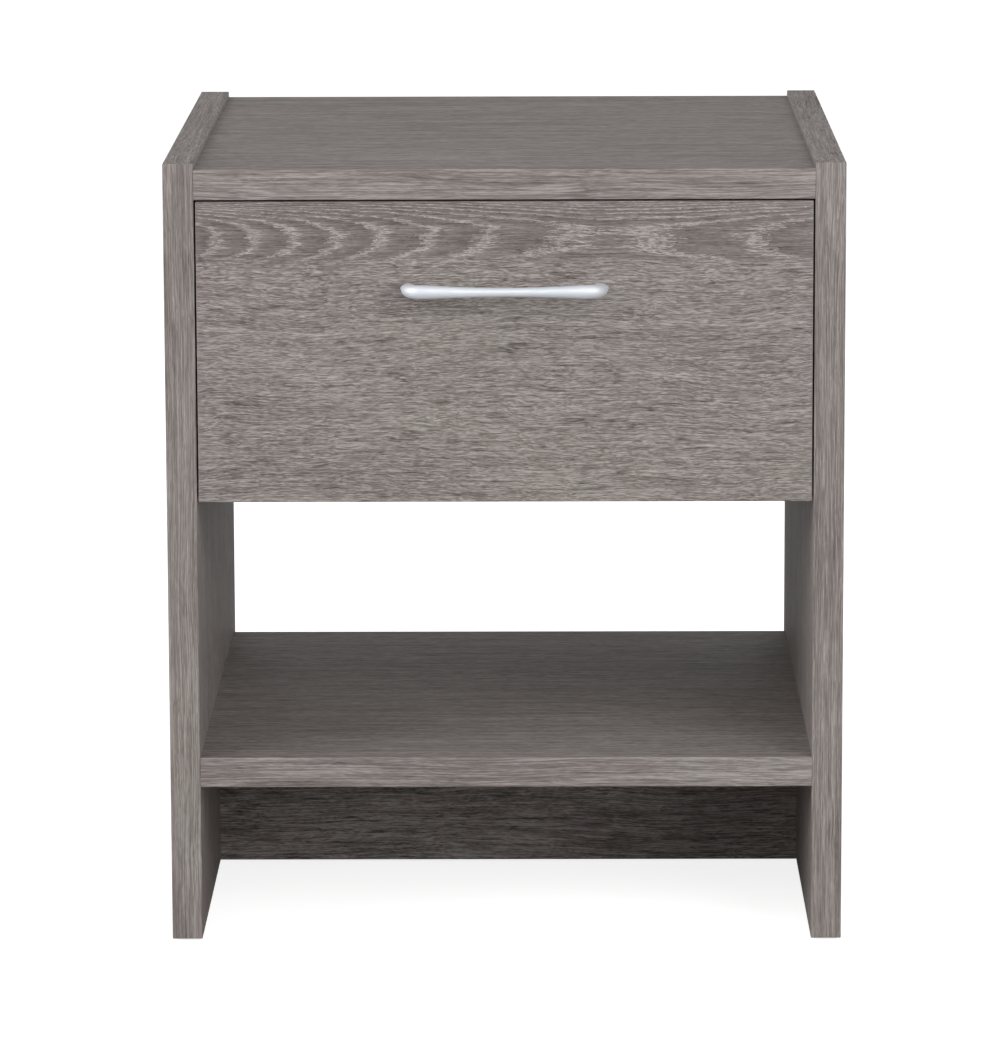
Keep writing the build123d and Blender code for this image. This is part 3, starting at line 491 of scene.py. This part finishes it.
def oak_foil(name, grain, edge, shift, bare, streak=1.0, stretch=1.0, strips=None, **arches):
    """Oak foil: grain runs along one axis, or another on the ends. Strips face a third"""
    material, tree, shader = principled(name)
    coordinates = put(tree, "ShaderNodeTexCoord")
    turned = use_group(tree, grain_direction, {
        "Position": coordinates.outputs["Object"], "Face Normal": coordinates.outputs["Normal"],
        "Grain Axis": grain, "Edge Axis": edge, "Shift": shift})
    stretched = vector_maths(tree, "MULTIPLY", turned.outputs[0], (1 / stretch, 1, 1))
    facing_strip = maths(tree, "ABSOLUTE", vector_maths(
        tree, "DOT_PRODUCT", coordinates.outputs["Normal"], strips or (0, 0, 0)))
    on_strip = maths(tree, "GREATER_THAN", facing_strip, SQUARE_ON)
    figure = use_group(tree, oak_figure, {
        "Position": stretched,
        "Fleck Strength": remap(tree, on_strip, 0, 1, 1.0, STRIP_FLECK),
        "Streak Strength": remap(tree, on_strip, 0, 1, streak, STRIP_STREAK),
        "Arch Strength": 0.0, **{key.replace("_", " "): value for key, value in arches.items()}})
    ramp = put(tree, "ShaderNodeValToRGB", {"Fac": figure.outputs["Tone"]})
    ramp.color_ramp.elements[0].color = DARK_OAK
    ramp.color_ramp.elements[1].color = PALE_OAK
    ramp.color_ramp.elements.new(0.5).color = MID_OAK
    tint = maths(tree, "MULTIPLY", figure.outputs["Tint"], TINT_STRENGTH)
    tinted = put(tree, "ShaderNodeMix",
                 {"Factor": tint, "A": ramp.outputs["Color"], "B": GREEN_GREY},
                 data_type="RGBA", blend_type="MULTIPLY").outputs["Result"]
    chips = use_group(tree, chipboard, {"Position": coordinates.outputs["Object"]})
    facing_bare = vector_maths(tree, "DOT_PRODUCT", coordinates.outputs["Normal"], bare)
    is_bare = maths(tree, "GREATER_THAN", facing_bare, SQUARE_ON)
    colour = mix(tree, "RGBA", is_bare, tinted, chips.outputs["Color"])
    tree.links.new(colour, shader.inputs["Base Color"])
    sheen = remap(tree, figure.outputs["Height"], -1.0, 1.0, ROUGH_IN_PORES, ROUGH_BETWEEN)
    tree.links.new(mix(tree, "FLOAT", is_bare, sheen, ROUGH_BARE), shader.inputs["Roughness"])
    shader.inputs["IOR"].default_value = 1.45
    relief = mix(tree, "FLOAT", is_bare, figure.outputs["Height"], chips.outputs["Height"])
    set_bump(tree, shader, relief, EMBOSSING)
    return material


def dress(material, *names):
    """Give CAD pieces a finish"""
    for name in names:
        slots = nodes[name].data.materials
        slots.clear()
        slots.append(material)


print("oak foil ready")

# %% Cover the boards
X, Y, Z = (1.0, 0.0, 0.0), (0.0, 1.0, 0.0), (0.0, 0.0, 1.0)
DOWN, BACK, NOWHERE = (0.0, 0.0, -1.0), (0.0, 1.0, 0.0), (0.0, 0.0, 0.0)
ARCH_BELOW_TOP = 0.0205
arch_across = face_high.z - ARCH_BELOW_TOP + face_low.y
dress(oak_foil("oak_drawer_front", X, Y, (0, 0, 0), NOWHERE, Arch_Strength=1.0,
               Arch_Along=0.060, Arch_Across=arch_across, Arch_Half_Width=0.023), "drawer_front")
dress(oak_foil("oak_left_side", Z, Y, (0.31, 0.07, 0.02), DOWN, streak=1.5, stretch=1.6,
               strips=Y), "left_side_panel")
dress(oak_foil("oak_right_side", Z, Y, (0.87, 0.31, 0.16), DOWN, streak=1.5, stretch=1.6,
               strips=Y), "right_side_panel")
dress(oak_foil("oak_top", X, Y, (0.53, 0.42, 0.31), BACK, streak=1.6, stretch=1.5,
               strips=Y), "top_panel")
dress(oak_foil("oak_shelf", X, Y, (1.13, 0.71, 0.64), BACK, streak=1.6, stretch=1.5,
               strips=Y), "shelf_panel")
dress(oak_foil("oak_rails", X, Y, (1.71, 0.93, 0.82), DOWN, streak=2.4), "plinth_rail",
      "back_rail")
dress(oak_foil("oak_drawer_sides", Y, X, (2.33, 0.13, 0.94), DOWN), "drawer_left_side",
      "drawer_right_side")
dress(oak_foil("oak_drawer_back", X, Y, (2.91, 0.57, 1.14), DOWN), "drawer_back")
print("oak foil on", sum(o.data.materials[0].name.startswith("oak") for o in nodes.values()))

# %% [markdown]
# ## Hardboard
# The drawer's bottom and the back are 3 mm hardboard: wood fibre steamed and pressed hard. The
# side that is seen is lacquered pale grey. The other side is bare brown fibre with a fine mesh
# left by the press.

# %% Make the hardboard finish
PRESS_MESH = 900.0         # squares per metre
BROWN_FIBRE, PALE_FIBRE = (0.115, 0.062, 0.032, 1), (0.26, 0.160, 0.092, 1)
GREY_LACQUER, PALE_LACQUER = (0.40, 0.385, 0.37, 1), (0.46, 0.445, 0.43, 1)


def hardboard(name, lacquered_side):
    """Fibre board, lacquered on the side that faces one way"""
    material, tree, shader = principled(name)
    coordinates = put(tree, "ShaderNodeTexCoord")
    fibre = noise(tree, coordinates.outputs["Object"], (300, 300, 300), 4.0, 0.65)
    mottle = noise(tree, coordinates.outputs["Object"], (22, 22, 22), 2.0)
    brown = mix(tree, "RGBA", remap(tree, maths(tree, "MULTIPLY_ADD", mottle, 0.5, fibre), -1, 1),
                BROWN_FIBRE, PALE_FIBRE)
    grey = mix(tree, "RGBA", remap(tree, mottle, -1, 1), GREY_LACQUER, PALE_LACQUER)
    is_lacquered = maths(tree, "GREATER_THAN",
                         vector_maths(tree, "DOT_PRODUCT", coordinates.outputs["Normal"],
                                      lacquered_side), SQUARE_ON)
    tree.links.new(mix(tree, "RGBA", is_lacquered, brown, grey), shader.inputs["Base Color"])
    tree.links.new(mix(tree, "FLOAT", is_lacquered, 0.85, remap(tree, fibre, -1, 1, 0.32, 0.45)),
                   shader.inputs["Roughness"])
    mesh_lines = put(tree, "ShaderNodeTexChecker", {"Vector": coordinates.outputs["Object"],
                                                    "Scale": PRESS_MESH}).outputs["Fac"]
    relief = mix(tree, "FLOAT", is_lacquered, maths(tree, "MULTIPLY_ADD", mesh_lines, 0.5, fibre),
                 maths(tree, "MULTIPLY", fibre, 0.15))
    set_bump(tree, shader, relief, 0.05 * MM)
    return material


dress(hardboard("hardboard_bottom", Z), "drawer_bottom")
dress(hardboard("hardboard_back", (0.0, -1.0, 0.0)), "back_panel")
print("hardboard on", nodes["drawer_bottom"].name, "and", nodes["back_panel"].name)

# %% [markdown]
# ## Metal and plastic
# Every bought-in part has one of a few plain finishes. They differ in colour, in how rough they
# are, and in what the making leaves behind: satin silver has fine lines along the bar, die-cast
# zinc is mottled, plating clouds a little, and powder coat has an orange-peel skin. The silver
# is a lacquer with metal flakes, so it is only partly metallic and stays pale in any light.

# %% Make the metal and plastic finishes


def plain_finish(name, darker, paler, metallic, rough_low, rough_high, cloud_scale, grain_scale,
                 relief, coat=0.0):
    """Finish with cloudy colour and fine grain: roughness and relief follow the grain"""
    material, tree, shader = principled(name)
    position = put(tree, "ShaderNodeTexCoord").outputs["Object"]
    clouds = noise(tree, position, (cloud_scale,) * 3, 3.0, 0.6)
    grain = noise(tree, position, grain_scale, 2.0, 0.55)
    paleness = remap(tree, maths(tree, "MULTIPLY_ADD", grain, 0.4, clouds), -1.2, 1.2)
    tree.links.new(mix(tree, "RGBA", paleness, (*darker, 1), (*paler, 1)),
                   shader.inputs["Base Color"])
    tree.links.new(remap(tree, grain, -1, 1, rough_low, rough_high), shader.inputs["Roughness"])
    shader.inputs["Metallic"].default_value = metallic
    shader.inputs["Coat Weight"].default_value = coat
    set_bump(tree, shader, grain, relief)
    return material


satin_silver = plain_finish("satin_silver", (0.74, 0.78, 0.84), (0.84, 0.87, 0.92), 0.6,
                            0.54, 0.64, 40, (90, 1400, 1400), 0.000004)
zinc = plain_finish("cast_zinc", (0.33, 0.34, 0.35), (0.56, 0.57, 0.58), 1.0,
                    0.38, 0.58, 260, (1600, 1600, 1600), 0.00003)
bright_steel = plain_finish("plated_steel", (0.56, 0.57, 0.57), (0.74, 0.74, 0.72), 1.0,
                            0.18, 0.34, 300, (2200, 2200, 2200), 0.000012)
white_powder = plain_finish("white_powder_coat", (0.70, 0.70, 0.68), (0.80, 0.80, 0.78), 0.0,
                            0.30, 0.42, 30, (700, 700, 700), 0.00003, coat=0.15)
nylon = plain_finish("white_nylon", (0.62, 0.61, 0.57), (0.78, 0.77, 0.73), 0.0,
                     0.34, 0.50, 220, (900, 900, 900), 0.00002)
dark_plastic = plain_finish("dark_plastic", (0.030, 0.030, 0.031), (0.052, 0.052, 0.052), 0.0,
                            0.45, 0.60, 90, (1500, 1500, 1500), 0.00004)

dress(satin_silver, "handle")
dress(zinc, "carcass_cam_locks", "drawer_cam_locks")
dress(bright_steel, "carcass_cam_bolts", "drawer_cam_bolts", "handle_screws",
      "drawer_back_screws", "drawer_bottom_screws", "drawer_runner_screws",
      "cabinet_runner_screws", "glide_nails", "front_roller_rivets", "rear_roller_rivets")
dress(white_powder, "left_cabinet_runner", "right_cabinet_runner", "left_drawer_runner",
      "right_drawer_runner")
dress(nylon, "left_front_roller", "right_front_roller", "left_rear_roller", "right_rear_roller")
dress(dark_plastic, "floor_glides")
print("finishes:", len(bpy.data.materials))

# %% [markdown]
# ## Dowels
# The loose pins that line the boards up are beech, turned and then pressed with fine flutes that
# let the glue out. The flutes are relief that repeats round each pin, along its length.

# %% Make the beech finish
FLUTE_PITCH = 0.9 * MM
DARK_BEECH, PALE_BEECH = (0.36, 0.215, 0.115, 1), (0.56, 0.385, 0.24, 1)

beech, beech_tree, beech_shader = principled("beech")
beech_place = put(beech_tree, "ShaderNodeTexCoord").outputs["Object"]
beech_grain = noise(beech_tree, beech_place, (60, 900, 900), 3.0, 0.6)
beech_tree.links.new(
    mix(beech_tree, "RGBA", remap(beech_tree, beech_grain, -1, 1), DARK_BEECH, PALE_BEECH),
    beech_shader.inputs["Base Color"])
beech_shader.inputs["Roughness"].default_value = 0.7
beech_split = put(beech_tree, "ShaderNodeSeparateXYZ", {0: beech_place}).outputs
flutes = maths(beech_tree, "SINE", maths(beech_tree, "MULTIPLY", beech_split["Z"],
                                         2 * math.pi / FLUTE_PITCH))
set_bump(beech_tree, beech_shader, maths(beech_tree, "MULTIPLY_ADD", beech_grain, 0.3, flutes),
         0.1 * MM)
dress(beech, "carcass_dowels", "drawer_dowels")
print("beech on the dowels")

# %% [markdown]
# ## The bow handle
# The handle is a zinc casting with a satin silver finish: a thin bar that swells towards both
# ends, turns back in a tight bend and lands on the drawer front with two oval feet. A bevelled
# curve would keep one section all the way, so it is modelled as a chain of rings instead. Each
# ring is an ellipse at one station of the path, turned to face along it. Neighbouring rings are
# bridged, the feet are capped, and a subdivision modifier rounds what lies between. Only the
# path and the ellipse's width and height vary, each by a short formula.

# %% Model the handle
HANDLE_SIDES = 12
FOOT_ACROSS, FOOT_TALL = 11.0 * MM, 4.8 * MM
LEG_ACROSS, LEG_TALL = 9.4 * MM, 8.0 * MM
SHOULDER_ACROSS, SHOULDER_TALL = 7.2 * MM, 8.6 * MM
MIDDLE_ACROSS, MIDDLE_TALL = 5.2 * MM, 5.5 * MM
BEND = 7.5 * MM
BOW = 1.2 * MM
LEG_END, BEND_END = 0.2, 0.5   # shares of the way from a foot to mid span

handle_z = (handle_low.z + handle_high.z) / 2
board_y = handle_high.y
leg_x = handle_high.x - FOOT_ACROSS / 2
reach_y = board_y - handle_low.y
shoulder_out = reach_y - MIDDLE_ACROSS / 2 - BOW


def blend(first, second, share):
    """Value part way between two others"""
    return first + (second - first) * share


def handle_station(share):
    """Ring from one foot (0) to mid span (1): x, distance out, heading, width and height"""
    if share < LEG_END:
        rise = share / LEG_END
        swell = 1 - (1 - rise) ** 2
        return (leg_x, (shoulder_out - BEND) * rise, 0.0,
                blend(FOOT_ACROSS, LEG_ACROSS, swell), blend(FOOT_TALL, LEG_TALL, swell))
    if share < BEND_END:
        swell = (share - LEG_END) / (BEND_END - LEG_END)
        turn = swell * math.pi / 2
        return (leg_x - BEND + BEND * math.cos(turn), shoulder_out - BEND + BEND * math.sin(turn),
                turn, blend(LEG_ACROSS, SHOULDER_ACROSS, swell),
                blend(LEG_TALL, SHOULDER_TALL, swell))
    inward = (share - BEND_END) / (1 - BEND_END)
    ease = math.sin(inward * math.pi / 2)
    return ((leg_x - BEND) * (1 - inward), shoulder_out + BOW * ease, math.pi / 2,
            blend(SHOULDER_ACROSS, MIDDLE_ACROSS, ease),
            blend(SHOULDER_TALL, MIDDLE_TALL, ease))


shares = [0, 0.02, 0.1, 0.2, 0.275, 0.35, 0.425, 0.5, 0.6, 0.7, 0.8, 0.9, 1.0]
half = [handle_station(share) for share in shares]
stations = half + [(-x, out, math.pi - turn, across, tall)
                   for x, out, turn, across, tall in reversed(half[:-1])]
bm = bmesh.new()
rings = []
for x, out, turn, across, tall in stations:
    ring = bmesh.ops.create_circle(bm, segments=HANDLE_SIDES, radius=0.5)["verts"]
    bmesh.ops.transform(
        bm, verts=ring, matrix=Matrix.Translation((x, board_y - out, handle_z))
        @ Matrix.Rotation(-turn, 4, "Z") @ Matrix.Rotation(math.pi / 2, 4, "X")
        @ Matrix.Diagonal((across, tall, 1, 1)))
    rings.append(ring)


def ring_edges(ring):
    """The closed loop of edges round one ring"""
    members = set(ring)
    return [edge for edge in bm.edges if members.issuperset(edge.verts)]


loops = [ring_edges(ring) for ring in rings]
for first, second in zip(loops, loops[1:]):
    bmesh.ops.bridge_loops(bm, edges=first + second)
bmesh.ops.contextual_create(bm, geom=loops[0])
bmesh.ops.contextual_create(bm, geom=loops[-1])
bmesh.ops.recalc_face_normals(bm, faces=bm.faces)
handle_mesh = bpy.data.meshes.new("bow_handle")
bm.to_mesh(handle_mesh)
bm.free()
handle_mesh.materials.append(satin_silver)
handle_mesh.shade_smooth()
bow_handle = bpy.data.objects.new("bow_handle", handle_mesh)
bpy.context.scene.collection.objects.link(bow_handle)
subdivision = bow_handle.modifiers.new("rounding", "SUBSURF")
subdivision.levels = 2
subdivision.render_levels = 2
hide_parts("handle")
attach(bow_handle, "drawer")
print("handle rings", len(rings), "faces", len(handle_mesh.polygons))
